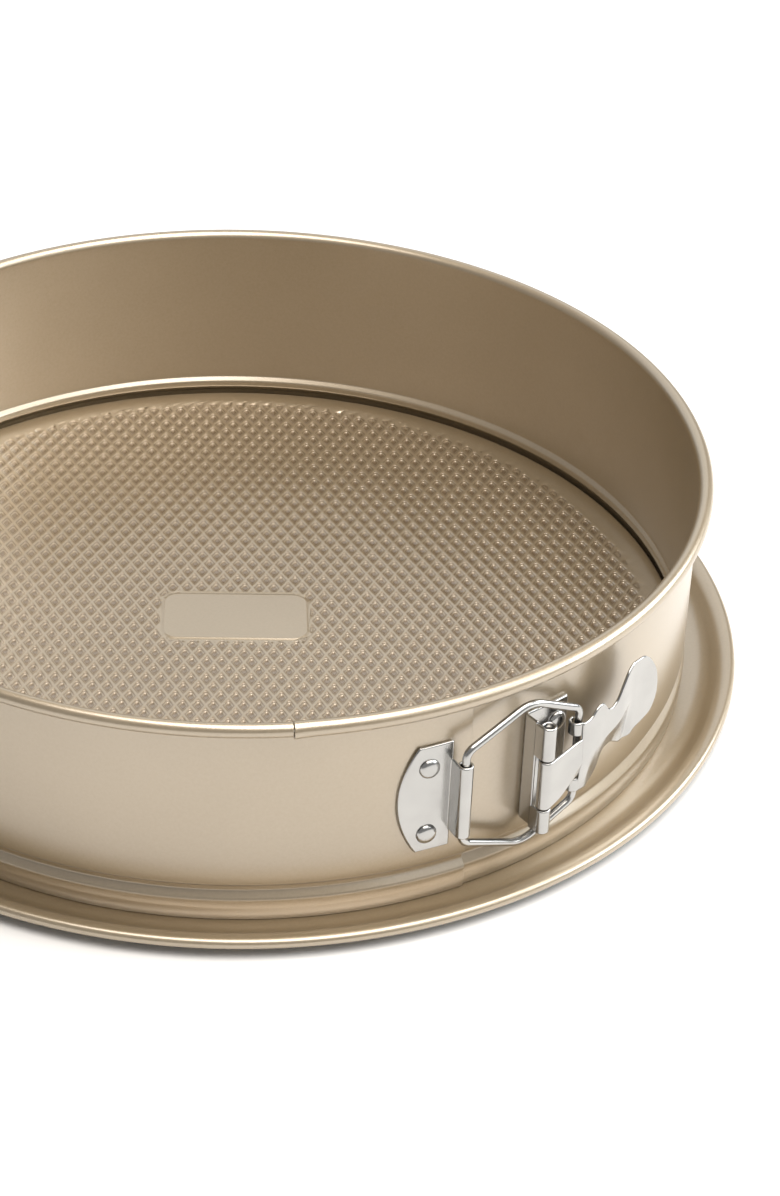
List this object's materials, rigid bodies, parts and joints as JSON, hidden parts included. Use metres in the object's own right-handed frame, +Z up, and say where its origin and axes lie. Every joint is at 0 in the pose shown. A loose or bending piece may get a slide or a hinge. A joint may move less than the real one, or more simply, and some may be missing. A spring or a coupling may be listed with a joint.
{
  "type": "springform pan",
  "caption": "Round springform cake pan: rimmed base with an embossed plateau and a sprung band closed by an over-centre wire bail clasp.",
  "frame": {"origin": "centre of the pan on the surface it stands on", "axes": "+Z up along the pan's axis; -Y towards the band's outer end edge, with the clasp just to its +X side"},
  "size_m": [0.292, 0.292, 0.0649],
  "materials": {
    "coated_steel": "champagne non-stick coating, satin",
    "plated_steel": "bright plated steel"
  },
  "bodies": {
    "base": {"base_plate": "coated_steel"},
    "ring": {"band": "coated_steel", "bail_plate": "plated_steel", "lever_bracket": "plated_steel", "pivot_pin": "plated_steel", "bail_rivet_lower": "plated_steel", "bail_rivet_upper": "plated_steel", "bracket_rivet_lower": "plated_steel", "bracket_rivet_upper": "plated_steel"},
    "bail": {"wire_bail": "plated_steel"},
    "lever": {"clamp_lever": "plated_steel"}
  },
  "joints": [
    {"name": "ring_lift", "type": "slide", "parent": "base", "child": "ring", "axis": [0, 0, 1], "range_m": [0, 0.1]},
    {"name": "lever_swing", "type": "hinge", "parent": "ring", "child": "lever", "pos_m": [0.01973, -0.13689, 0.032], "axis": [0, 0, -1], "range_deg": [0, 160]},
    {"name": "bail_swing", "type": "hinge", "parent": "ring", "child": "bail", "pos_m": [-0.00427, -0.13593, 0.0349], "axis": [0, 0, -1], "range_deg": [0, 60]}
  ],
  "couplings": [
    {"joint": "bail_swing", "follows": "lever_swing", "ratio": 0.345}
  ]
}
